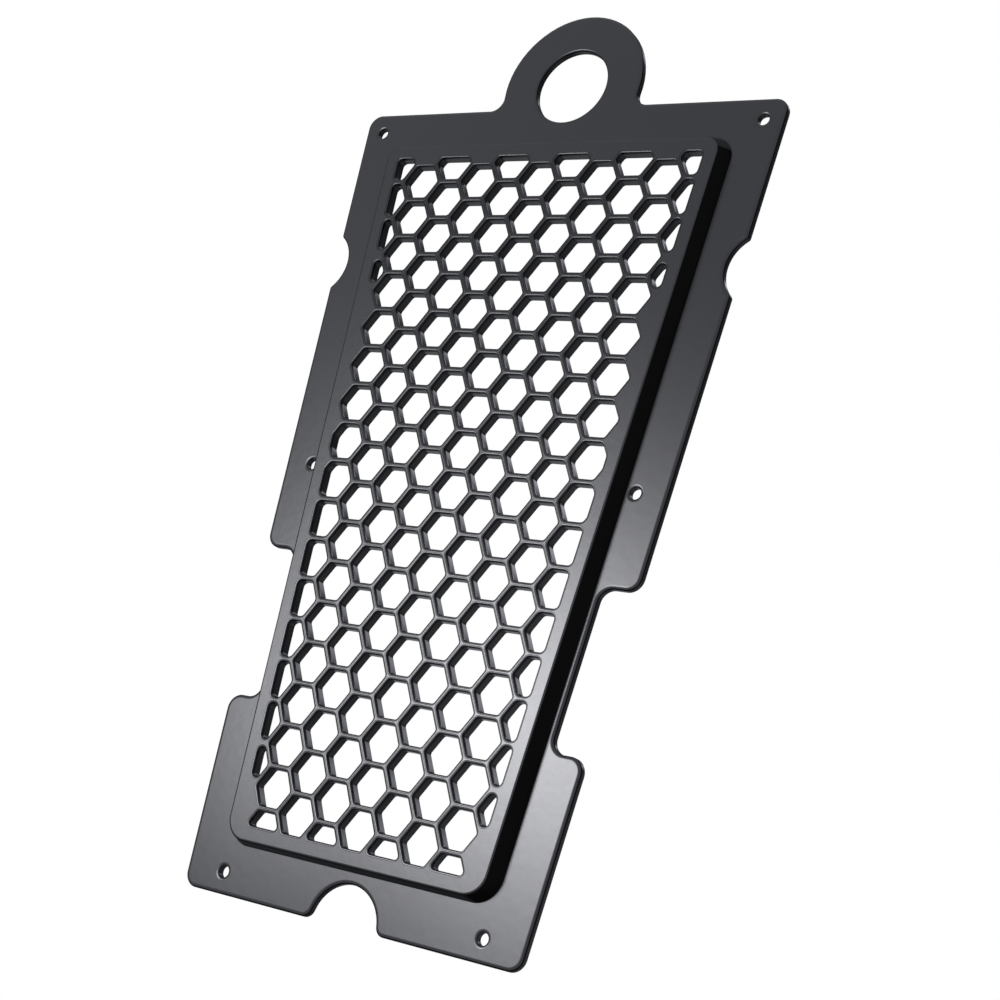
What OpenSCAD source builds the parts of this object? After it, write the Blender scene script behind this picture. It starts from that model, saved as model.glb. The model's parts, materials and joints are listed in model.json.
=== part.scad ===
// Radiator guard for a motorcycle: a tapered mounting plate with a raised honeycomb panel.
// It lies on its back, so the front faces up, and the ring on its top edge points along +Y.
// The origin is the middle of the outline, on the back face. Sizes are in millimetres.

/* [Mounting plate] */
// Length of the plate from its bottom edge to its top edge, without the ring
plate_l = 324; // [300:1:380]
// Width of the plate along its top edge
plate_top_w = 194; // [180:1:230]
// Width of the plate along its bottom edge
plate_bottom_w = 151; // [145:1:190]
// Thickness of the plate
plate_t = 3; // [2:0.1:4]
// Radius of the outer corners
corner_r = 5.6; // [3:0.1:8]
// Radius of the inner corners, at the waist and at the ring
fillet_r = 5.2; // [2:0.1:8]
// Radius that rounds the front edge of the plate
plate_edge_r = 0.8; // [0.4:0.1:1]

/* [Waist] */
// Depth of the waist, in from the side edge
waist_depth = 14.5; // [11.5:0.1:15.5]
// Length of the foot below the waist
foot_l = 73.8; // [45:0.1:110]
// Length of the waist
waist_l = 59.5; // [30:0.1:90]

/* [Round notches] */
// Radius of the notch in each side edge
side_notch_r = 14.4; // [8:0.1:18]
// Depth of the notch in each side edge
side_notch_depth = 5.6; // [2:0.1:7.5]
// Distance of the side notches below the top edge
side_notch_down = 67.6; // [40:0.1:110]
// Radius that breaks the mouth of a side notch
side_lip_r = 1.5; // [1.5:0.1:4]
// Radius of the half-round notch in the bottom edge
bottom_notch_r = 14.9; // [8:0.1:16]
// Radius that breaks the mouth of the bottom notch
bottom_lip_r = 2.7; // [1.5:0.1:4]

/* [Ring] */
// Outer diameter of the ring on the top edge
ring_d = 62.6; // [50:0.1:75]
// Diameter of the hole in the ring
ring_hole_d = 31.5; // [15:0.1:40]
// Height of the ring's centre above the top edge
ring_rise = 9.4; // [2:0.1:20]

/* [Screw holes] */
// Diameter of the six screw holes
screw_d = 4.5; // [3.2:0.1:5.5]
// Distance of the top holes from the side edge
top_screw_in = 8.5; // [6:0.1:12]
// Distance of the top holes below the top edge
top_screw_down = 8.6; // [6:0.1:12]
// Distance of the middle holes from the side edge
middle_screw_in = 12.9; // [7:0.1:13]
// Distance of the middle holes below the top edge
middle_screw_down = 155.4; // [110:0.1:180]
// Distance of the bottom holes from the side edge
bottom_screw_in = 17.6; // [8:0.1:30]
// Distance of the bottom holes above the bottom edge
bottom_screw_up = 8.2; // [6:0.1:12]

/* [Raised panel] */
// Height of the panel's front above the front of the plate
panel_rise = 6.2; // [4:0.1:12]
// Distance from the plate's side edge to the panel's front edge
panel_side = 19.6; // [19:0.1:30]
// Distance from the plate's top edge to the panel's front edge
panel_top = 18.8; // [16:0.1:30]
// Distance from the plate's bottom edge to the panel's front edge
panel_bottom = 20.5; // [20:0.1:35]
// Radius of the panel's top corners
panel_top_r = 6; // [4:0.1:12]
// Radius of the panel's bottom corners
panel_bottom_r = 8.8; // [4:0.1:12]
// How far the foot of the side and top walls stands outside the front edge
wall_lean = 3.2; // [1:0.1:3.4]
// How far the foot of the bottom wall stands outside the front edge
bottom_lean = 1.4; // [0.4:0.1:3.4]
// Thickness of the panel's wall
wall_t = 3; // [2:0.1:3.6]
// Radius that rounds the front edge of the panel
panel_edge_r = 1; // [0.5:0.1:2]

/* [Honeycomb] */
// Distance between neighbouring cells
cell_pitch = 16; // [10:0.1:20]
// Width of the ribs between the cells
rib_w = 1.85; // [1.2:0.05:3]
// Depth of the ribs, and thickness of the panel round them
grille_t = 4.7; // [3:0.1:5.5]
// Radius of the corners of each opening
opening_r = 1.3; // [0.6:0.1:2]
// A cell that the border leaves narrower than this stays closed
least_opening = 5.5; // [4.5:0.1:8]
// Width of the solid border at the sides
border_side = 5.6; // [4:0.1:12]
// Width of the solid border at the top
border_top = 5.5; // [4:0.1:12]
// Width of the solid border at the bottom
border_bottom = 5.9; // [4:0.1:12]
// How far the middle cell lies below the middle of the honeycomb
middle_cell_down = 1.8; // [0:0.1:8]

/* [Hidden] */
$fn = 32;
// Turn from one point to the next along an arc of the outline
arc_step = 9;
// Arcs in the corners of the openings, which are small and many
opening_fn = 12;
// How far a cut runs past the face that it opens
past = 1;
// Width of the flat strip that joins the rounded edge to the plate
strip_w = 0.4;
// How far the sheet of the honeycomb runs into the border
comb_lap = 2;

total_l = plate_l + ring_rise + ring_d / 2;
total_h = plate_t + panel_rise;
top_y = plate_l;
ring_y = top_y + ring_rise;
waist_top = foot_l + waist_l;
side_slope = (plate_top_w - plate_bottom_w) / 2 / plate_l;
tilt = atan(side_slope);

// Half the width of the plate at a height above its bottom edge
function half_w(y) = plate_bottom_w / 2 + side_slope * y;

// Direction from one point to another, and the point at a distance in a direction
function heading(a, b) = atan2(b[1] - a[1], b[0] - a[0]);
function along(p, angle, d) = p + d * [cos(angle), sin(angle)];
// An angle brought into the half turn on each side of another one
function near(angle, other) = angle - 360 * round((angle - other) / 360);

// The outline is a chain of arcs, joined by straight lines that touch them. An arc is
// [centre, radius, start angle, end angle]. One that runs clockwise is an inner corner.
function outer_corner(y, from, to) =
  [[half_w(y) - corner_r / cos(tilt), y], corner_r, from, to];
function inner_corner(y, from, to) =
  [[half_w(y) - waist_depth + fillet_r / cos(tilt), y], fillet_r, from, to];

// Half-round notch in the middle of the bottom edge, up to the lip at its mouth
bottom_lip = [sqrt(pow(bottom_notch_r + bottom_lip_r, 2) - pow(bottom_lip_r, 2)), bottom_lip_r];
bottom_turn = heading([0, 0], bottom_lip);
bottom_arcs = [
  [[0, 0], bottom_notch_r, 90, bottom_turn],
  [bottom_lip, bottom_lip_r, 180 + bottom_turn, 270]
];

// Foot, waist and the lower corner of the plate above the waist
waist_arcs = [
  outer_corner(corner_r, -90, -tilt),
  outer_corner(foot_l - corner_r, -tilt, 90),
  inner_corner(foot_l + fillet_r, 270, 180 - tilt),
  inner_corner(waist_top - fillet_r, 180 - tilt, 90),
  outer_corner(waist_top + corner_r, -90, -tilt)
];

// Round notch in the side edge, with a lip at each end of its mouth
side_foot = [half_w(top_y - side_notch_down), top_y - side_notch_down];
notch_out = side_notch_r - side_notch_depth;
notch = along(side_foot, -tilt, notch_out);
mouth = sqrt(pow(side_notch_r + side_lip_r, 2) - pow(notch_out + side_lip_r, 2));
lips = [for (end = [-1, 1]) along(along(side_foot, -tilt, -side_lip_r), 90 - tilt, end * mouth)];
side_notch_arcs = [
  [lips[0], side_lip_r, -tilt, heading(lips[0], notch)],
  [notch, side_notch_r, near(heading(notch, lips[0]), 180), near(heading(notch, lips[1]), 180)],
  [lips[1], side_lip_r, heading(lips[1], notch), -tilt]
];

// Top corner, the fillet against the ring, and half of the ring
ring_fillet = [
  sqrt(pow(ring_d / 2 + fillet_r, 2) - pow(fillet_r - ring_rise, 2)),
  top_y + fillet_r
];
ring_turn = near(heading(ring_fillet, [0, ring_y]), 180);
top_arcs = [
  outer_corner(top_y - corner_r, -tilt, 90),
  [ring_fillet, fillet_r, 270, ring_turn],
  [[0, ring_y], ring_d / 2, ring_turn - 180, 90]
];

// Points along an arc that is moved into the material by an inset
function arc_points(arc, inset) = let (
  turn = arc[3] - arc[2],
  r = arc[1] + (turn > 0 ? -inset : inset),
  steps = max(1, ceil(abs(turn) / arc_step))
) [for (i = [0 : steps]) along(arc[0], arc[2] + turn * i / steps, r)];

// The outline: its right half from bottom to top, then the left half back down
function outline(inset = 0) = let (
  right = [
    for (arc = concat(bottom_arcs, waist_arcs, side_notch_arcs, top_arcs))
      each arc_points(arc, inset)
  ]
) concat(right, [for (i = [len(right) - 2 : -1 : 1]) [-right[i][0], right[i][1]]]);

// Section of the plate's edge, as [inset, height] pairs that run once round it
edge_section = [
  [0, 0],
  for (turn = [0 : 45 : 90])
    [plate_edge_r * (1 - cos(turn)), plate_t - plate_edge_r * (1 - sin(turn))],
  [plate_edge_r + strip_w, plate_t],
  [plate_edge_r + strip_w, 0]
];

// The edge of the plate: the section carried round the whole outline
module plate_edge() {
  rings = [for (s = edge_section) [for (p = outline(s[0])) [p[0], p[1], s[1]]]];
  count = len(rings[0]);
  sides = len(rings);
  polyhedron(
    points = [for (ring = rings) each ring],
    faces = [
      for (s = [0 : sides - 1], i = [0 : count - 1])
        let (here = s * count, next = (s + 1) % sides * count, j = (i + 1) % count)
          [here + i, next + i, next + j, here + j]
    ]
  );
}

// The mounting plate, whose edge overlaps its body by half of the strip
module plate() {
  plate_edge();
  linear_extrude(plate_t) polygon(outline(plate_edge_r + strip_w / 2));
}

// A corner of the panel as [x, y, radius]. share is 0 at the front edge and 1 at the foot.
function panel_corner(side, y, r, lean, share) = let (
  round = r + share * lean
) [side * (half_w(y) - panel_side + share * wall_lean - round / cos(tilt)), y, round];

// The panel's four corners, between the front edge and the foot
function panel_corners(share) = [
  for (side = [-1, 1])
    panel_corner(side, top_y - panel_top - panel_top_r, panel_top_r, wall_lean, share),
  for (side = [-1, 1])
    panel_corner(side, panel_bottom + panel_bottom_r, panel_bottom_r, bottom_lean, share)
];
lean_angle = atan(wall_lean / panel_rise);

// The raised panel as a solid block with leaning walls and a rounded front edge
module panel_block() {
  bead_in = panel_edge_r * (1 - sin(lean_angle)) / cos(lean_angle);
  hull() {
    for (c = panel_corners(1)) translate([c[0], c[1], 0]) cylinder(h = plate_t, r = c[2]);
    for (c = panel_corners(0)) translate([c[0], c[1], total_h - panel_edge_r])
      rotate_extrude() translate([c[2] - bead_in, 0]) circle(r = panel_edge_r, $fn = 16);
  }
}

// The hollow behind the panel, which leaves its wall and the depth of the honeycomb
module panel_hollow() {
  hollow_h = total_h - grille_t;
  wall_across = wall_t / cos(lean_angle);
  hull() {
    for (c = panel_corners(1)) translate([c[0], c[1], -past])
      cylinder(h = past, r = c[2] - wall_across);
    for (c = panel_corners(grille_t / panel_rise)) translate([c[0], c[1], hollow_h - past])
      cylinder(h = past, r = c[2] - wall_across);
  }
}

// The honeycomb fills the panel inside its border
comb_bottom = panel_bottom + border_bottom;
comb_top = top_y - panel_top - border_top;
comb_middle = (comb_bottom + comb_top) / 2 - middle_cell_down;
function comb_half_w(y) = half_w(y) - panel_side - border_side;

// Cells have a corner at each side, so every other column is half a pitch higher
column_step = cell_pitch * cos(30);
cell_half = (cell_pitch - rib_w) / 2;
cell_r = cell_half / cos(30);
columns = ceil(comb_half_w(comb_top) / column_step);
rows = ceil((comb_top - comb_bottom) / 2 / cell_pitch) + 1;

// How much of a cell lies inside the border, across and along the panel
function reach_across(c) = comb_half_w(c[1]) - abs(c[0]) + cell_r;
function reach_along(c) = min(comb_top - c[1], c[1] - comb_bottom) + cell_half;
cells = [
  for (column = [-columns : columns], row = [-rows : rows])
    let (
      half_step = column % 2 == 0 ? 0 : 0.5,
      c = [column * column_step, comb_middle + (row + half_step) * cell_pitch]
    )
    if (min(reach_across(c), reach_along(c)) > least_opening) c
];

// The area of the honeycomb, which may run on into the border
module comb_area(grow = 0) {
  bottom = comb_bottom - grow;
  top = comb_top + grow;
  polygon([
    [-comb_half_w(bottom) - grow, bottom], [comb_half_w(bottom) + grow, bottom],
    [comb_half_w(top) + grow, top], [-comb_half_w(top) - grow, top]
  ]);
}

// One opening, cut off where it meets the border, with rounded corners
module opening(c) {
  offset(r = opening_r, $fn = opening_fn) offset(delta = -opening_r) intersection() {
    translate(c) circle(r = cell_r, $fn = 6);
    comb_area();
  }
}

// The sheet of ribs, which runs on into the border to join it
module honeycomb() {
  translate([0, 0, total_h - grille_t]) linear_extrude(grille_t) difference() {
    comb_area(comb_lap);
    for (c = cells) opening(c);
  }
}

// A round hole through the plate
module plate_hole(x, y, d) {
  translate([x, y, -past]) cylinder(h = plate_t + 2 * past, d = d);
}

// A pair of screw holes at a height, set in from the side edges
module screw_pair(y, inset) {
  for (side = [-1, 1]) plate_hole(side * (half_w(y) - inset), y, screw_d);
}

// The plate with the raised panel, open where the honeycomb goes
module shell() {
  difference() {
    union() {
      plate();
      panel_block();
    }
    panel_hollow();
    linear_extrude(total_h + past) comb_area();
    plate_hole(0, ring_y, ring_hole_d);
    screw_pair(top_y - top_screw_down, top_screw_in);
    screw_pair(top_y - middle_screw_down, middle_screw_in);
    screw_pair(bottom_screw_up, bottom_screw_in);
  }
}

// The guard is moulded in one piece
module guard() {
  color("#17171a") translate([0, -total_l / 2, 0]) {
    shell();
    honeycomb();
  }
}

guard();
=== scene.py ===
"""Radiator guard for a motorcycle: one moulded piece of gloss black plastic.

A tapered mounting plate carries a raised panel with a honeycomb grille. The guard lies on its
back on the floor, so its front faces up and the ring on its top edge points along +Y.
"""

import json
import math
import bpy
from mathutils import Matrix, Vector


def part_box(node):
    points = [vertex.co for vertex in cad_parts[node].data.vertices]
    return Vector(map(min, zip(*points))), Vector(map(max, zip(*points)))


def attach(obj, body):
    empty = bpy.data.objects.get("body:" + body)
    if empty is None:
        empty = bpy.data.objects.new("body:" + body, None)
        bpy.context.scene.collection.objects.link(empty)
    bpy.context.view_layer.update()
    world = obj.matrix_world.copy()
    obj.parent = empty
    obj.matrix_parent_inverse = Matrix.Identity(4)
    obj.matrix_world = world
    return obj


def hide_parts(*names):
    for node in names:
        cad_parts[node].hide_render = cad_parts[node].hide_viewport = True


bl_info = {
    "name": "Radiator guard",
    "version": (1, 0, 0),
    "blender": (4, 5, 0),
    "location": "View3D > Sidebar > Radiator Guard",
    "description": "Builds a moulded honeycomb radiator guard and a small studio round it",
    "category": "Object",
}

import bmesh
import bpy
from bpy.props import FloatProperty, FloatVectorProperty, PointerProperty
from mathutils import Matrix, Quaternion, Vector

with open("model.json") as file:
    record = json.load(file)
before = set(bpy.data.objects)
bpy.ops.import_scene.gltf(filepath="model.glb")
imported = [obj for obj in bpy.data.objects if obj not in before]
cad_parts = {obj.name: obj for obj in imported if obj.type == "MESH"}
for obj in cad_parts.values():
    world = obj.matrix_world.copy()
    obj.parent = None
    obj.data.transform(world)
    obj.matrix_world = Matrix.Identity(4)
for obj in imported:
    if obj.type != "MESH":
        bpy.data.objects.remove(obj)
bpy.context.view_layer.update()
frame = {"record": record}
LOW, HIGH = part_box("guard")
MOUNTS = {mount["name"]: mount for mount in frame["record"]["mounts"]}

# Turn from one point to the next along an arc of an outline, in degrees
ARC_STEP = 6
# The same in the corners of the cells, which are small and many
CORNER_STEP = 20
# Steps of the roundings: the plate's front edge, other soft edges, the cells' rims, small ones
EDGE_STEPS = 6
SOFT_STEPS = 5
RIM_STEPS = 4
SMALL_STEPS = 2
# Sides of the circles that start the screw holes and the ring's hole
SCREW_SIDES = 32
RING_SIDES = 96
# Half the width of a hexagon across its flats, as a share of its radius
HEXAGON = math.cos(math.radians(30))
# A section is aimed this far past its last corner, in metres
FAR = 0.02
# Corners of a cut cell that lie nearer than this are one corner, in metres
NEAR = 0.0001
# Vertices that lie nearer than this are one vertex, in metres
SAME = 1e-6
# A corner of a cell that lies nearer than this to the border lies on it, in metres
ON_BORDER = 1e-7

# Noise scales of the plastic's skin: flow marks, roughness and peel
FLOW_SCALE = 18.0
ROUGH_SCALE = 500.0
PEEL_SCALE = 260.0
# Height of the peel, in metres
PEEL_HEIGHT = 0.0004
# Roughness of the smoothest and of the roughest places, against the mean
ROUGH_BELOW, ROUGH_ABOVE = 0.015, 0.025
# Share of the base colour in the darkest and in the palest flow marks
FLOW_DARK = (0.9, 0.9, 0.9)
FLOW_PALE = (1.15, 1.15, 1.2)
PLASTIC_IOR = 1.5

# The floor lies just under the guard's back
FLOOR_SIZE = (4, 4)
FLOOR_PLACE = (0, 0, -0.0001)
# Soft box over the guard, card that stands behind the ring, and card under the grille
BOX_SIZE, BOX_PLACE = (4, 4), (-0.6, 0.6, 1)
BACK_SIZE, BACK_PLACE = (4, 1), (-0.6, 2.6, 0.5)
LOW_SIZE, LOW_PLACE = (3, 3), (0, 0, -0.6)
# Light of the soft box in its middle, and of what lies round it
SOFT_LIGHT = (0.95, 0.952, 1, 1)
COOL_LIGHT = (0.888, 0.917, 1, 1)
# Spots of the soft box: share of its brightness, place, reach both ways, turn, and fall-off
BOX_SPOTS = (
    (1.0, (-0.574, 0.052, 1), (0.242, 0.165), -30.4, 0.806),
    (0.3, (-0.89, 0.017, 1), (0.116, 0.159), 0, 1.0),
)
# Spots of the card under the grille: share of its brightness, place, reach both ways, and turn
LOW_SPOTS = (
    (1.0, (0.105, 0.44, -0.6), (0.075, 0.38), 12),
    (0.12, (0.3, -0.25, -0.6), (0.3, 0.3), 0),
    (0.14, (-0.46, -0.22, -0.6), (0.3, 0.2), 0),
)
# Brightness of the surroundings for light on the guard, and as the camera sees them
WORLD_DIM = 0.06
WORLD_WHITE = 1.0
WHITE = (1, 1, 1, 1)

# The camera's place, the point it aims at, its roll in degrees, and where its view starts
CAMERA_PLACE = (0.3968, -0.1806, 0.5394)
CAMERA_AIM = (0.016575, -0.020203, 0)
CAMERA_ROLL = -56.3882
CAMERA_CLIP = 0.01


def length(name, millimetres, description):
    """A size in the sidebar, whose default is given in millimetres."""
    return FloatProperty(
        name=name,
        description=description,
        default=millimetres / 1000,
        min=0,
        precision=4,
        unit="LENGTH",
        subtype="DISTANCE",
    )


class PlateSizes(bpy.types.PropertyGroup):
    """Sizes of the mounting plate."""

    top_width: length("Top width", 194, "Width of the plate along its top edge")
    bottom_width: length("Bottom width", 151, "Width of the plate along its bottom edge")
    thickness: length("Thickness", 3, "Thickness of the plate")
    corner: length("Outer corners", 5.6, "Radius of the outer corners")
    fillet: length("Inner corners", 5.2, "Radius of the inner corners, at the waist and the ring")
    waist_depth: length("Waist depth", 14.5, "Depth of the waist, in from the side edge")
    foot: length("Foot", 73.8, "Length of the foot below the waist")
    waist: length("Waist", 59.5, "Length of the waist")
    side_notch: length("Side notch", 14.4, "Radius of the notch in each side edge")
    side_notch_depth: length("Side notch depth", 5.6, "Depth of the notch in each side edge")
    side_notch_down: length("Side notch place", 67.6, "Distance of the side notches below the top")
    side_lip: length("Side lip", 1.5, "Radius that breaks the mouth of a side notch")
    bottom_notch: length("Bottom notch", 14.9, "Radius of the notch in the bottom edge")
    bottom_lip: length("Bottom lip", 3.8, "Radius that breaks the mouth of the bottom notch")
    ring: length("Ring", 31.3, "Outer radius of the ring")
    ring_rise: length("Ring rise", 9.4, "Height of the ring's centre above the top edge")
    edge_reach: length("Edge reach", 1.4, "How far the soft front edge reaches in over the plate")
    edge_drop: length("Edge drop", 0.9, "How far the soft front edge reaches down the side")
    hole_reach: length("Hole reach", 1.1, "How far the soft mouth of a screw hole reaches")
    hole_drop: length("Hole drop", 0.5, "How deep the soft mouth of a screw hole is")
    ring_reach: length("Ring reach", 0.8, "How far the soft mouth of the ring's hole reaches")
    back_edge: length("Back edge", 0.25, "Size of the small rounding at the back edges")


class PanelSizes(bpy.types.PropertyGroup):
    """Sizes of the raised panel."""

    side: length("Side", 19.6, "Distance from the plate's side edge to the panel's front edge")
    top: length("Top", 18.8, "Distance from the plate's top edge to the panel's front edge")
    bottom: length("Bottom", 20.5, "Distance from the plate's bottom edge to the front edge")
    top_corner: length("Top corners", 6, "Radius of the panel's top corners")
    bottom_corner: length("Bottom corners", 8.8, "Radius of the panel's bottom corners")
    lean: length("Lean", 3.2, "How far the foot of the side and top walls stands out")
    bottom_lean: length("Bottom lean", 1.4, "How far the foot of the bottom wall stands out")
    wall: length("Wall", 3, "Thickness of the panel's wall")
    front_round: length("Front rounding", 0.6, "Reach of the rounding along the front edge")
    foot_round: length("Foot rounding", 0.15, "Reach of the hollow rounding at the foot")
    roof_round: length("Roof rounding", 0.9, "Reach of the rounding inside, behind the panel")


class GrilleSizes(bpy.types.PropertyGroup):
    """Sizes of the honeycomb."""

    pitch: length("Pitch", 16, "Distance between neighbouring cells")
    rib: length("Rib", 2.0, "Width of the ribs between the cells")
    depth: length("Depth", 4.7, "Depth of the ribs")
    corner: length("Corners", 1.3, "Radius of the corners of each opening")
    cut_corner: length("Cut corners", 1.9, "Radius of the corners where the side border cuts a cell")
    least: length("Least opening", 5.5, "A cell left narrower than this stays closed")
    border_side: length("Side border", 5.6, "Width of the solid border at the sides")
    border_top: length("Top border", 5.5, "Width of the solid border at the top")
    border_bottom: length("Bottom border", 5.9, "Width of the solid border at the bottom")
    middle_down: length("Middle cell", 1.8, "How far the middle cell lies below the middle")
    crown: length("Crown", 0.62, "Width of the slope on each side of a rib's crown")
    crown_drop: length("Crown drop", 0.1, "How far the crown of a rib slopes down")
    crown_round: length("Crown rounding", 0.18, "Reach of the rounding at the top of the slope")
    rim_round: length("Rim rounding", 0.42, "Reach of the rounding from the slope into a cell")
    parting: length("Parting depth", 1.3, "Depth at which an opening is narrowest")
    draft: length("Draft", 0.1, "How much wider an opening is at its mouths, on each side")
    hold: length("Rim edge", 0.04, "Narrow strip that ends each rounding")


class PlasticFinish(bpy.types.PropertyGroup):
    """Finish of the moulded plastic."""

    colour: FloatVectorProperty(
        name="Colour",
        description="Base colour of the plastic",
        subtype="COLOR",
        size=3,
        min=0,
        max=1,
        default=(0.002, 0.002, 0.0024),
    )
    roughness: FloatProperty(
        name="Roughness",
        description="Roughness of the polished faces",
        subtype="FACTOR",
        default=0.16,
        min=0,
        max=1,
    )
    peel: FloatProperty(
        name="Peel",
        description="Strength of the slight unevenness of the moulded skin",
        subtype="FACTOR",
        default=0.04,
        min=0,
        max=1,
    )


class StudioSettings(bpy.types.PropertyGroup):
    """The floor, the lights and the camera."""

    floor_glow: FloatProperty(
        name="Floor glow", description="Brightness of the floor itself", default=1.0, min=0
    )
    floor_grey: FloatProperty(
        name="Floor grey", description="Share of light that the floor reflects", default=0.2, min=0
    )
    box_glow: FloatProperty(
        name="Soft box", description="Brightness of the soft box at its middle", default=18.1, min=0
    )
    box_rest: FloatProperty(
        name="Soft box rest",
        description="Brightness of the soft box away from its middle",
        default=1.06,
        min=0,
    )
    back_glow: FloatProperty(
        name="Back card", description="Brightness of the card behind the ring", default=0.95, min=0
    )
    low_glow: FloatProperty(
        name="Low strip", description="Brightness of the strip under the grille", default=2.2, min=0
    )
    low_rest: FloatProperty(
        name="Low card", description="Brightness of the card that holds the strip", default=0.12, min=0
    )
    lens: FloatProperty(
        name="Lens", description="Focal length of the camera", default=66.405, min=1
    )


def heading(degrees):
    """Unit vector in the plane of the floor."""
    return Vector((math.cos(math.radians(degrees)), math.sin(math.radians(degrees)), 0))


def bearing(start, end):
    """Direction from one point to another, in degrees."""
    return math.degrees(math.atan2(end[1] - start[1], end[0] - start[0]))


def near(angle, other):
    """An angle brought into the half turn on each side of another one."""
    return angle - 360 * round((angle - other) / 360)


class Layout:
    """Places that follow from the sizes. Y is counted from the plate's bottom edge."""

    def __init__(self, plate, panel, grille):
        self.plate, self.panel, self.grille = plate, panel, grille
        self.base_y = LOW.y
        self.top_y = HIGH.y - LOW.y - plate.ring_rise - plate.ring
        self.height = HIGH.z - LOW.z
        self.rise = self.height - plate.thickness
        self.slope = (plate.top_width - plate.bottom_width) / 2 / self.top_y
        self.tilt = math.degrees(math.atan(self.slope))
        self.upright = math.cos(math.atan(self.slope))

    def half_width(self, y):
        """Half the width of the plate at a height above its bottom edge."""
        return self.plate.bottom_width / 2 + self.slope * y

    def outer_corner(self, y, start, end):
        """Arc of an outer corner of the plate, with its centre at a height."""
        radius = self.plate.corner
        return (self.half_width(y) - radius / self.upright, y), radius, start, end

    def inner_corner(self, y, start, end):
        """Arc of an inner corner of the waist, with its centre at a height."""
        radius = self.plate.fillet
        x = self.half_width(y) - self.plate.waist_depth + radius / self.upright
        return (x, y), radius, start, end

    def bottom_arcs(self):
        """The half-round notch in the bottom edge, and the lip at its mouth."""
        radius, lip = self.plate.bottom_notch, self.plate.bottom_lip
        centre = (math.sqrt((radius + lip) ** 2 - lip**2), lip)
        turn = bearing((0, 0), centre)
        return [((0, 0), radius, 90, turn), (centre, lip, 180 + turn, 270)]

    def waist_arcs(self):
        """The foot, the waist and the plate's corner above the waist."""
        plate, tilt = self.plate, self.tilt
        waist_top = plate.foot + plate.waist
        return [
            self.outer_corner(plate.corner, -90, -tilt),
            self.outer_corner(plate.foot - plate.corner, -tilt, 90),
            self.inner_corner(plate.foot + plate.fillet, 270, 180 - tilt),
            self.inner_corner(waist_top - plate.fillet, 180 - tilt, 90),
            self.outer_corner(waist_top + plate.corner, -90, -tilt),
        ]

    def side_notch_arcs(self):
        """The round notch in the side edge, with a lip at each end of its mouth."""
        plate, tilt = self.plate, self.tilt
        y = self.top_y - plate.side_notch_down
        foot = Vector((self.half_width(y), y, 0))
        out, radius, lip = plate.side_notch - plate.side_notch_depth, plate.side_notch, plate.side_lip
        notch = foot + heading(-tilt) * out
        mouth = math.sqrt((radius + lip) ** 2 - (out + lip) ** 2)
        low, high = (foot - heading(-tilt) * lip + heading(90 - tilt) * end for end in (-mouth, mouth))
        return [
            (low.xy, lip, -tilt, bearing(low, notch)),
            (notch.xy, radius, near(bearing(notch, low), 180), near(bearing(notch, high), 180)),
            (high.xy, lip, bearing(high, notch), -tilt),
        ]

    def top_arcs(self):
        """The top corner, the fillet against the ring, and half of the ring."""
        plate, top = self.plate, self.top_y
        ring = (0, top + plate.ring_rise)
        across = math.sqrt((plate.ring + plate.fillet) ** 2 - (plate.fillet - plate.ring_rise) ** 2)
        fillet = (across, top + plate.fillet)
        turn = near(bearing(fillet, ring), 180)
        return [
            self.outer_corner(top - plate.corner, -self.tilt, 90),
            (fillet, plate.fillet, 270, turn),
            (ring, plate.ring, turn - 180, 90),
        ]

    def outline_arcs(self):
        """The right half of the plate's outline, from bottom to top."""
        return self.bottom_arcs() + self.waist_arcs() + self.side_notch_arcs() + self.top_arcs()

    def panel_arcs(self, share):
        """The right half of the panel's outline, from bottom to top.

        share is 0 at the front edge and 1 at the foot of the leaning walls.
        """
        panel, arcs = self.panel, []
        low_y = panel.bottom + panel.bottom_corner
        high_y = self.top_y - panel.top - panel.top_corner
        for y, radius, lean, start, end in (
            (low_y, panel.bottom_corner, panel.bottom_lean, -90, -self.tilt),
            (high_y, panel.top_corner, panel.lean, -self.tilt, 90),
        ):
            radius += share * lean
            x = self.half_width(y) - panel.side + share * panel.lean - radius / self.upright
            arcs.append(((x, y), radius, start, end))
        return arcs

    def comb_half_width(self, y):
        """Half the width of the honeycomb at a height."""
        return self.half_width(y) - self.panel.side - self.grille.border_side

    def comb_span(self):
        """Lowest and highest place of the honeycomb."""
        bottom = self.panel.bottom + self.grille.border_bottom
        return bottom, self.top_y - self.panel.top - self.grille.border_top

    def cells(self):
        """Centres of the cells that the border leaves wide enough to open.

        Those that the side border cuts come in a list of their own, after the others.
        """
        grille = self.grille
        bottom, top = self.comb_span()
        middle = (bottom + top) / 2 - grille.middle_down
        across = grille.pitch * HEXAGON
        half = (grille.pitch - grille.rib) / 2
        corner = half / HEXAGON
        uncut = 2 * corner - grille.corner
        columns = math.ceil(self.comb_half_width(top) / across)
        rows = math.ceil((top - bottom) / 2 / grille.pitch) + 1
        whole, cut = [], []
        for column in range(-columns, columns + 1):
            for row in range(-rows, rows + 1):
                x, y = column * across, middle + (row + column % 2 / 2) * grille.pitch
                reach_across = self.comb_half_width(y) - abs(x) + corner
                reach_along = min(top - y, y - bottom) + half
                if min(reach_across, reach_along) > grille.least:
                    group = cut if reach_across < uncut else whole
                    group.append(Vector((x, y, 0)))
        return whole, cut


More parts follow.
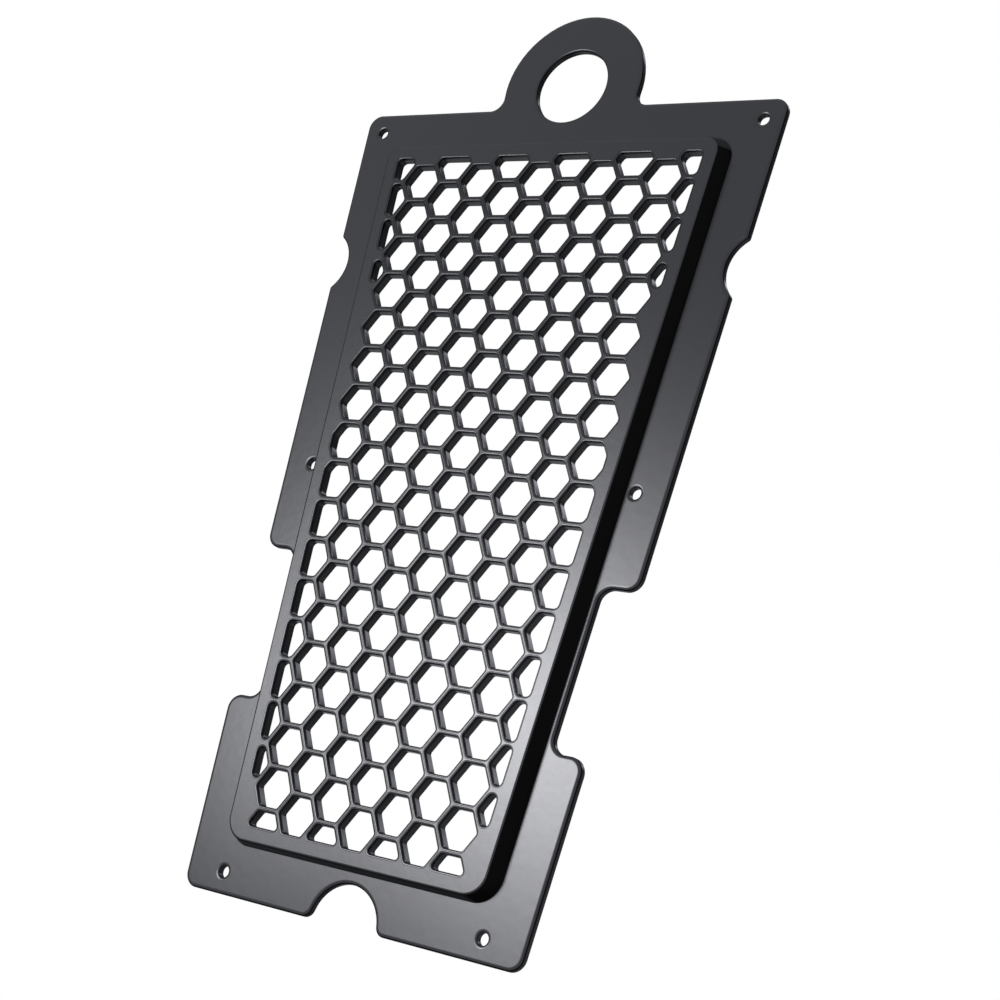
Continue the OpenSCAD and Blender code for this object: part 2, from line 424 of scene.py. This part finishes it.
def section(points, rounds, hold):
    """Section through an edge, as (outset, height) pairs.

    It runs from the first corner's rounding to the last one's. The first and the last point
    only give a direction. rounds holds how far each rounding reaches back and on from its
    corner, and its steps. One that reaches as far both ways is a true arc. hold is the narrow
    strip that ends each of them, so that flat faces stay flat.
    """
    path = []
    points = [Vector(point) for point in points]
    for before, corner, after, (back, on, steps) in zip(points, points[1:], points[2:], rounds):
        towards, away = (before - corner).normalized(), (after - corner).normalized()
        start, end = corner + towards * back, corner + away * on
        pull = math.sin(towards.angle(away) / 2)
        path.append(start + towards * hold)
        for step in range(steps + 1):
            share = step / steps
            parts = (1 - share) ** 2, 2 * share * (1 - share) * pull, share**2
            path.append((start * parts[0] + corner * parts[1] + end * parts[2]) / sum(parts))
        path.append(end + away * hold)
    return path


def draw_arc(bm, centre, radius, start, turn, step):
    """Arc of edges in the plane of the floor. Returns its first and its last vertex."""
    first = bm.verts.new(centre + heading(start) * radius)
    spun = bmesh.ops.spin(
        bm,
        geom=[first],
        cent=centre,
        axis=(0, 0, 1),
        angle=math.radians(turn),
        steps=max(1, math.ceil(abs(turn) / step)),
    )
    return first, next(item for item in spun["geom_last"] if isinstance(item, bmesh.types.BMVert))


def draw_face(bm, arcs, grow, height, base_y):
    """Face inside a chain of arcs, which gives its right half from bottom to top."""
    old_verts, old_edges = set(bm.verts), set(bm.edges)
    last = None
    for (x, y), radius, start, end in arcs:
        turn = end - start
        centre = Vector((x, y + base_y, height))
        radius += grow if turn > 0 else -grow
        first, far = draw_arc(bm, centre, radius, start, turn, ARC_STEP)
        if last:
            bm.edges.new((last, first))
        last = far
    half = [v for v in bm.verts if v not in old_verts] + [e for e in bm.edges if e not in old_edges]
    for end in [v for v in half if isinstance(v, bmesh.types.BMVert) and len(v.link_edges) == 1]:
        middle = bm.verts.new((0, end.co.y, height))
        half += [middle, bm.edges.new((end, middle))]
    bmesh.ops.mirror(bm, geom=half, axis="X", merge_dist=SAME)
    bmesh.ops.remove_doubles(bm, verts=[v for v in bm.verts if v not in old_verts], dist=SAME)
    edges = [edge for edge in bm.edges if edge not in old_edges]
    return bmesh.ops.contextual_create(bm, geom=edges)["faces"][0]


def rim(faces):
    """The edges round some faces."""
    return {edge for face in faces for edge in face.edges}


def look(face, up):
    """Turn a face to look up, or down where up is -1."""
    face.normal_update()
    if face.normal.z * up < 0:
        face.normal_flip()


def walk(bm, faces, path, up):
    """Carry faces along a section, which leaves a band of faces behind at each step.

    path holds (outset, height) pairs, and up is 1 for faces that look up and -1 for others.
    """
    for face in faces:
        look(face, up)
    for (here, low), (there, high) in zip(path, path[1:]):
        bmesh.ops.inset_individual(
            bm,
            faces=faces,
            thickness=here - there,
            depth=(high - low) * up,
            use_even_offset=True,
        )


def draw_cells(layout, centres, corner, outset, height):
    """Mesh with a face for each cell, cut off where it meets the border.

    Each starts as a hexagon that is smaller by the corner radius and is cut by the border.
    An arc round each of its corners then brings it to its size, with an outset.
    """
    bm = bmesh.new()
    grille = layout.grille
    apothem = (grille.pitch - grille.rib) / 2 - corner
    for centre in centres:
        place = centre + Vector((0, layout.base_y, height))
        bmesh.ops.create_circle(
            bm,
            cap_ends=True,
            segments=6,
            radius=apothem / HEXAGON,
            matrix=Matrix.Translation(place) @ Matrix.Rotation(math.radians(90), 4, "Z"),
        )
    bottom, top = layout.comb_span()
    side = layout.comb_half_width(bottom)
    for outward, point in (
        (heading(-90), (0, bottom, 0)),
        (heading(90), (0, top, 0)),
        (heading(-layout.tilt), (side, bottom, 0)),
        (heading(180 + layout.tilt), (-side, bottom, 0)),
    ):
        bmesh.ops.bisect_plane(
            bm,
            geom=bm.verts[:] + bm.edges[:] + bm.faces[:],
            dist=ON_BORDER,
            plane_co=Vector(point) + Vector((0, layout.base_y, 0)) - outward * corner,
            plane_no=outward,
            clear_outer=True,
        )
    bmesh.ops.remove_doubles(bm, verts=bm.verts, dist=NEAR)
    for face in bm.faces:
        look(face, 1)
    cells = [[loop.vert.co.copy() for loop in face.loops] for face in bm.faces]
    bm.clear()
    for corners in cells:
        facing = [bearing(here, there) - 90 for here, there in zip(corners, corners[1:] + corners[:1])]
        arcs = []
        for centre, before, after in zip(corners, facing[-1:] + facing, facing):
            turn = (after - before) % 360
            arcs.append(draw_arc(bm, centre, corner + outset, before, turn, CORNER_STEP))
        for (_, far), (first, _) in zip(arcs, arcs[1:] + arcs[:1]):
            bm.edges.new((far, first))
    bmesh.ops.remove_doubles(bm, verts=bm.verts, dist=SAME)
    bmesh.ops.edgenet_fill(bm, edges=bm.edges)
    mesh = bpy.data.meshes.new("cells")
    bm.to_mesh(mesh)
    bm.free()
    return mesh


def draw_hole(bm, x, y, radius, height, segments):
    """Round face where a hole starts."""
    made = bmesh.ops.create_circle(
        bm,
        cap_ends=True,
        segments=segments,
        radius=radius,
        matrix=Matrix.Translation((x, y, height)),
    )
    return made["verts"][0].link_faces[0]


def fill_flat(bm, edges, up):
    """Fill the flat between the outer loop and the loops inside it, and return its faces."""
    filled = bmesh.ops.triangle_fill(bm, edges=list(edges), normal=(0, 0, up), use_beauty=True)
    return {item for item in filled["geom"] if isinstance(item, bmesh.types.BMFace)}


def screw_holes():
    """Place and radius of each screw hole, from the mounts."""
    for name in ("top_screws", "middle_screws", "bottom_screws"):
        mount = MOUNTS[name]
        for side in (-0.5, 0.5):
            x = side * mount["dims"]["spacing_x_mm"] / 1000
            yield x, mount["pos_m"][1], mount["dims"]["hole_r_mm"] / 1000


class Shell:
    """The guard's skin while it is built.

    edges holds the edges round the flats at each of the four levels. caps holds the faces that
    were carried along a section, which are cleared before the flats are filled.
    """

    def __init__(self, plate, panel, grille):
        self.plate, self.panel, self.grille = plate, panel, grille
        self.layout = Layout(plate, panel, grille)
        self.bm = bmesh.new()
        self.top, self.front = self.layout.height, plate.thickness
        self.roof = self.top - grille.depth
        self.edges = {"front": set(), "plate": set(), "roof": set(), "back": set()}
        self.caps = []

    def draw(self, arcs, grow, height):
        """Face inside a chain of arcs, at a height."""
        return draw_face(self.bm, arcs, grow, height, self.layout.base_y)

    def carry(self, faces, path, up, start=None, end=None):
        """Carry faces along a section. start and end name the flats that it runs between."""
        if start:
            self.edges[start] |= rim(faces)
        walk(self.bm, faces, path, up)
        if end:
            self.edges[end] |= rim(faces)
        self.caps += faces

    def add_cells(self):
        """The honeycomb, with crowned ribs and walls that have a parting line and a draft."""
        grille, hold, back = self.grille, self.grille.hold, self.plate.back_edge
        path = section(
            [
                (FAR, self.top),
                (grille.crown, self.top),
                (0, self.top - grille.crown_drop),
                (-grille.draft, self.top - grille.parting),
                (0, self.roof),
                (FAR, self.roof),
            ],
            [
                (grille.crown_round, grille.crown_round, SMALL_STEPS),
                (grille.rim_round, grille.rim_round, RIM_STEPS),
                (hold, hold, 1),
                (back, back, 1),
            ],
            hold,
        )
        for centres, corner in zip(self.layout.cells(), (grille.corner, grille.cut_corner)):
            drawn = draw_cells(self.layout, centres, corner, path[0].x, self.top)
            self.bm.from_mesh(drawn)
            bpy.data.meshes.remove(drawn)
        self.carry(self.bm.faces[:], path, 1, start="front", end="roof")

    def add_holes(self):
        """The screw holes and the ring's hole, with soft mouths."""
        plate, back = self.plate, self.plate.back_edge
        screw_soft = (plate.hole_reach, plate.hole_drop, SOFT_STEPS)
        ring_soft = (plate.ring_reach, plate.ring_reach, SOFT_STEPS)
        holes = [(x, y, radius, screw_soft, SCREW_SIDES) for x, y, radius in screw_holes()]
        ring = MOUNTS["neck_ring"]
        holes.append((0, ring["pos_m"][1], ring["dims"]["r_mm"] / 1000, ring_soft, RING_SIDES))
        points = [(FAR, self.front), (0, self.front), (0, 0), (FAR, 0)]
        for x, y, radius, soft, sides in holes:
            path = section(points, [soft, (back, back, SMALL_STEPS)], self.grille.hold)
            mouth = draw_hole(self.bm, x, y, radius + path[0].x, self.front, sides)
            self.carry([mouth], path, 1, start="plate", end="back")

    def add_panel(self):
        """The leaning walls of the raised panel, from their foot to the bead at the front edge."""
        panel, hold, top, front = self.panel, self.grille.hold, self.top, self.front
        cove, bead = panel.foot_round, panel.front_round
        points = [(FAR, front), (0, front), (-panel.lean, top)]
        path = section(points, [(cove, cove, SMALL_STEPS)], hold)
        foot = self.draw(self.layout.panel_arcs(1), path[0].x, front)
        self.carry([foot], path, 1, start="plate")
        points = [(panel.lean, front), (0, top), (-FAR, top)]
        path = section(points, [(bead, bead, SOFT_STEPS)], hold)
        raised = self.draw(self.layout.panel_arcs(0), path[0].x, path[0].y)
        bmesh.ops.bridge_loops(self.bm, edges=list(rim([foot, raised])))
        self.carry([raised], path, 1, end="front")

    def add_hollow(self):
        """The open hollow behind the panel, from its mouth in the back to its roof."""
        panel, hold, roof, back = self.panel, self.grille.hold, self.roof, self.plate.back_edge
        across = panel.wall / math.cos(math.atan2(panel.lean, self.layout.rise))
        share, inside = self.grille.depth / self.layout.rise, panel.roof_round
        draw_in = panel.lean * (1 - share)
        points = [(FAR, 0), (0, 0), (-draw_in, roof)]
        path = section(points, [(back, back, SMALL_STEPS)], hold)
        mouth = self.draw(self.layout.panel_arcs(1), path[0].x - across, 0)
        self.carry([mouth], path, -1, start="back")
        points = [(draw_in, 0), (0, roof), (-FAR, roof)]
        path = section(points, [(inside, inside, SOFT_STEPS)], hold)
        hollow = self.draw(self.layout.panel_arcs(share), path[0].x - across, path[0].y)
        bmesh.ops.bridge_loops(self.bm, edges=list(rim([mouth, hollow])))
        self.carry([hollow], path, -1, end="roof")

    def add_plate(self):
        """The outer side of the plate, from its middle up to the front and down to the back."""
        plate, hold, front, back = self.plate, self.grille.hold, self.front, self.plate.back_edge
        middle = front / 2
        body = self.draw(self.layout.outline_arcs(), 0, middle)
        lower = bmesh.ops.duplicate(self.bm, geom=[body])
        base = next(item for item in lower["geom"] if isinstance(item, bmesh.types.BMFace))
        rounds = [(plate.edge_drop, plate.edge_reach, EDGE_STEPS)]
        path = section([(0, 0), (0, front), (-FAR, front)], rounds, 3 * hold)
        self.carry([body], [Vector((0, middle))] + path, 1, end="plate")
        path = section([(0, front), (0, 0), (-FAR, 0)], [(back, back, SMALL_STEPS)], hold)
        self.carry([base], [Vector((0, middle))] + path, -1, end="back")

    def close(self):
        """Clear the caps, fill the flats and return the finished mesh."""
        bmesh.ops.delete(self.bm, geom=self.caps, context="FACES_ONLY")
        flats = set()
        for name, up in (("front", 1), ("plate", 1), ("roof", -1), ("back", -1)):
            flats |= fill_flat(self.bm, self.edges[name], up)
        bmesh.ops.recalc_face_normals(self.bm, faces=self.bm.faces)
        for face in self.bm.faces:
            face.smooth = face not in flats
        mesh = bpy.data.meshes.new("moulded_guard")
        self.bm.to_mesh(mesh)
        self.bm.free()
        return mesh


def build_guard(plate, panel, grille):
    """Mesh of the whole guard.

    It isn't closed: the first strip beside each flat has a loose edge, and the two halves of the
    plate's side aren't merged where they meet.
    """
    shell = Shell(plate, panel, grille)
    shell.add_cells()
    shell.add_holes()
    shell.add_panel()
    shell.add_hollow()
    shell.add_plate()
    return shell.close()


def add_node(tree, kind, **inputs):
    """Add a shader node and set its inputs by name. An input may be a socket to link."""
    node = tree.nodes.new(kind)
    for name, value in inputs.items():
        socket = node.inputs[name.replace("_", " ")]
        if isinstance(value, bpy.types.NodeSocket):
            tree.links.new(value, socket)
        else:
            socket.default_value = value
    return node


def math_node(tree, operation, *values):
    """Add a math node and return its output. A value may be a socket to link."""
    node = tree.nodes.new("ShaderNodeMath")
    node.operation = operation
    for socket, value in zip(node.inputs, values):
        if isinstance(value, bpy.types.NodeSocket):
            tree.links.new(value, socket)
        else:
            socket.default_value = value
    return node.outputs["Value"]


def new_material(name):
    """Empty node material, with its output node."""
    material = bpy.data.materials.new(name)
    material.use_nodes = True
    tree = material.node_tree
    tree.nodes.clear()
    return material, tree, tree.nodes.new("ShaderNodeOutputMaterial")


def gloss_black_plastic(finish):
    """Gloss black moulded plastic: faint flow marks and a slight orange peel."""
    material, tree, output = new_material("gloss_black_plastic")
    place = tree.nodes.new("ShaderNodeTexCoord").outputs["Object"]
    clouds = add_node(tree, "ShaderNodeTexNoise", Vector=place, Scale=FLOW_SCALE, Detail=2.0)
    fine = add_node(tree, "ShaderNodeTexNoise", Vector=place, Scale=ROUGH_SCALE, Detail=1.0)
    peel = add_node(tree, "ShaderNodeTexNoise", Vector=place, Scale=PEEL_SCALE, Detail=1.0)
    colour = tree.nodes.new("ShaderNodeMix")
    colour.data_type = "RGBA"
    tree.links.new(clouds.outputs["Fac"], colour.inputs["Factor"])
    for socket, shares in (("A", FLOW_DARK), ("B", FLOW_PALE)):
        mixed = [part * share for part, share in zip(finish.colour, shares)]
        colour.inputs[socket].default_value = (*mixed, 1)
    rough = add_node(
        tree,
        "ShaderNodeMapRange",
        Value=fine.outputs["Fac"],
        To_Min=finish.roughness - ROUGH_BELOW,
        To_Max=finish.roughness + ROUGH_ABOVE,
    )
    bump = add_node(
        tree,
        "ShaderNodeBump",
        Strength=finish.peel,
        Distance=PEEL_HEIGHT,
        Height=peel.outputs["Fac"],
    )
    shader = add_node(
        tree,
        "ShaderNodeBsdfPrincipled",
        Base_Color=colour.outputs["Result"],
        Roughness=rough.outputs["Result"],
        Normal=bump.outputs["Normal"],
        IOR=PLASTIC_IOR,
    )
    tree.links.new(shader.outputs["BSDF"], output.inputs["Surface"])
    return material


def floor_material(studio):
    """Plain pale floor that glows, so that it reads white right under the grille."""
    material, tree, output = new_material("pale_floor")
    grey = studio.floor_grey
    paint = add_node(tree, "ShaderNodeBsdfDiffuse", Color=(grey, grey, grey, 1))
    glow = add_node(tree, "ShaderNodeEmission", Color=WHITE, Strength=studio.floor_glow)
    seen = tree.nodes.new("ShaderNodeLightPath").outputs["Is Camera Ray"]
    mix = tree.nodes.new("ShaderNodeMixShader")
    tree.links.new(seen, mix.inputs[0])
    tree.links.new(paint.outputs[0], mix.inputs[1])
    tree.links.new(glow.outputs[0], mix.inputs[2])
    tree.links.new(mix.outputs[0], output.inputs["Surface"])
    return material


def glow_material(name, colour, strength):
    """Sheet that glows evenly."""
    material, tree, output = new_material(name)
    glow = add_node(tree, "ShaderNodeEmission", Color=colour, Strength=strength)
    tree.links.new(glow.outputs[0], output.inputs["Surface"])
    return material


def add_spot(material, colour, strength, place, size, turn=0, power=1.0):
    """Add a soft spot of light to a glowing sheet.

    size holds its reach along and across, and turn is how far it is turned, in degrees. A
    power below 1 gives it a longer tail.
    """
    tree = material.node_tree
    where = tree.nodes.new("ShaderNodeTexCoord").outputs["Object"]
    spread = add_node(tree, "ShaderNodeMapping", Vector=where)
    spread.vector_type = "TEXTURE"
    spread.inputs["Location"].default_value = place
    spread.inputs["Rotation"].default_value = (0, 0, math.radians(turn))
    spread.inputs["Scale"].default_value = (*size, 1)
    square = tree.nodes.new("ShaderNodeVectorMath")
    square.operation = "DOT_PRODUCT"
    tree.links.new(spread.outputs["Vector"], square.inputs[0])
    tree.links.new(spread.outputs["Vector"], square.inputs[1])
    away = math_node(tree, "POWER", square.outputs["Value"], power)
    fall = math_node(tree, "EXPONENT", math_node(tree, "MULTIPLY", away, -1.0))
    bright = math_node(tree, "MULTIPLY", fall, strength)
    spot = add_node(tree, "ShaderNodeEmission", Color=colour, Strength=bright)
    surface = tree.nodes["Material Output"].inputs["Surface"]
    both = tree.nodes.new("ShaderNodeAddShader")
    tree.links.new(surface.links[0].from_socket, both.inputs[0])
    tree.links.new(spot.outputs[0], both.inputs[1])
    tree.links.new(both.outputs[0], surface)


def new_object(name, mesh, material):
    """Object with a mesh and one material."""
    mesh.materials.append(material)
    piece = bpy.data.objects.new(name, mesh)
    bpy.context.scene.collection.objects.link(piece)
    return piece


def add_sheet(name, size, matrix, material):
    """Flat rectangle of the stage, which isn't part of the object."""
    bm = bmesh.new()
    half = Matrix.Diagonal((size[0], size[1], 1, 1))
    bmesh.ops.create_grid(bm, x_segments=1, y_segments=1, size=0.5, matrix=matrix @ half)
    mesh = bpy.data.meshes.new(name)
    bm.to_mesh(mesh)
    bm.free()
    sheet = new_object(name, mesh, material)
    return sheet


def studio_world():
    """Surroundings that are white to the camera and dim to the guard."""
    world = bpy.data.worlds.new("studio_world")
    world.use_nodes = True
    tree = world.node_tree
    tree.nodes.clear()
    seen = tree.nodes.new("ShaderNodeLightPath").outputs["Is Camera Ray"]
    dim = add_node(tree, "ShaderNodeBackground", Color=WHITE, Strength=WORLD_DIM)
    white = add_node(tree, "ShaderNodeBackground", Color=WHITE, Strength=WORLD_WHITE)
    mix = tree.nodes.new("ShaderNodeMixShader")
    tree.links.new(seen, mix.inputs[0])
    tree.links.new(dim.outputs[0], mix.inputs[1])
    tree.links.new(white.outputs[0], mix.inputs[2])
    out = tree.nodes.new("ShaderNodeOutputWorld")
    tree.links.new(mix.outputs[0], out.inputs["Surface"])
    return world


def studio_camera(lens):
    """Camera at the photo's angle."""
    camera = bpy.data.objects.new("camera", bpy.data.cameras.new("camera"))
    camera.data.lens = lens
    camera.data.clip_start = CAMERA_CLIP
    place = Vector(CAMERA_PLACE)
    turn = (Vector(CAMERA_AIM) - place).to_track_quat("-Z", "Y")
    camera.rotation_mode = "QUATERNION"
    camera.rotation_quaternion = turn @ Quaternion((0, 0, 1), math.radians(CAMERA_ROLL))
    camera.location = place
    return camera


class GUARD_OT_build_guard(bpy.types.Operator):
    """Build the moulded guard in place of its plain solid"""

    bl_idname = "guard.build_guard"
    bl_label = "Build guard"

    def execute(self, context):
        scene = context.scene
        mesh = build_guard(scene.guard_plate, scene.guard_panel, scene.guard_grille)
        piece = new_object("moulded_guard", mesh, gloss_black_plastic(scene.guard_finish))
        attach(piece, "root")
        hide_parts("guard")
        return {"FINISHED"}


class GUARD_OT_build_studio(bpy.types.Operator):
    """Add the floor, the soft box and the camera"""

    bl_idname = "guard.build_studio"
    bl_label = "Build studio"

    def execute(self, context):
        scene = context.scene
        studio = scene.guard_studio
        ground = Matrix.Translation(FLOOR_PLACE)
        floor = add_sheet("floor", FLOOR_SIZE, ground, floor_material(studio))
        floor.visible_glossy = False

        box_glow = glow_material("soft_box", COOL_LIGHT, studio.box_rest)
        for strength, place, size, turn, power in BOX_SPOTS:
            add_spot(box_glow, SOFT_LIGHT, strength * studio.box_glow, place, size, turn, power)
        card_glow = glow_material("back_card", COOL_LIGHT, studio.back_glow)
        low_glow = glow_material("low_card", COOL_LIGHT, studio.low_rest)
        for strength, place, size, turn in LOW_SPOTS:
            add_spot(low_glow, COOL_LIGHT, strength * studio.low_glow, place, size, turn)
        low_glow.cycles.emission_sampling = "NONE"
        stand = Matrix.Translation(BACK_PLACE) @ Matrix.Rotation(math.radians(90), 4, "X")
        for name, size, matrix, material in (
            ("soft_box", BOX_SIZE, Matrix.Translation(BOX_PLACE), box_glow),
            ("back_card", BACK_SIZE, stand, card_glow),
            ("low_card", LOW_SIZE, Matrix.Translation(LOW_PLACE), low_glow),
        ):
            card = add_sheet(name, size, matrix, material)
            card.visible_camera = False
            card.visible_shadow = False
        scene.world = studio_world()
        scene.camera = studio_camera(studio.lens)
        scene.collection.objects.link(scene.camera)
        scene.view_settings.view_transform = "Standard"
        return {"FINISHED"}


class VIEW3D_PT_radiator_guard(bpy.types.Panel):
    """Sidebar panel with the sizes and the operators."""

    bl_label = "Radiator guard"
    bl_space_type = "VIEW_3D"
    bl_region_type = "UI"
    bl_category = "Radiator Guard"

    def draw(self, context):
        scene = context.scene
        for title, settings in (
            ("Plate", scene.guard_plate),
            ("Panel", scene.guard_panel),
            ("Grille", scene.guard_grille),
            ("Finish", scene.guard_finish),
            ("Studio", scene.guard_studio),
        ):
            box = self.layout.box()
            box.label(text=title)
            for name in settings.__annotations__:
                box.prop(settings, name)
        self.layout.operator(GUARD_OT_build_guard.bl_idname)
        self.layout.operator(GUARD_OT_build_studio.bl_idname)


CLASSES = (
    PlateSizes,
    PanelSizes,
    GrilleSizes,
    PlasticFinish,
    StudioSettings,
    GUARD_OT_build_guard,
    GUARD_OT_build_studio,
    VIEW3D_PT_radiator_guard,
)
SETTINGS = {
    "guard_plate": PlateSizes,
    "guard_panel": PanelSizes,
    "guard_grille": GrilleSizes,
    "guard_finish": PlasticFinish,
    "guard_studio": StudioSettings,
}


def register():
    for item in CLASSES:
        bpy.utils.register_class(item)
    for name, kind in SETTINGS.items():
        setattr(bpy.types.Scene, name, PointerProperty(type=kind))


def unregister():
    for name in SETTINGS:
        delattr(bpy.types.Scene, name)
    for item in reversed(CLASSES):
        bpy.utils.unregister_class(item)


def main():
    """Register the settings, then build the guard and the studio."""
    register()
    bpy.ops.guard.build_guard()
    bpy.ops.guard.build_studio()


if __name__ == "__main__":
    main()
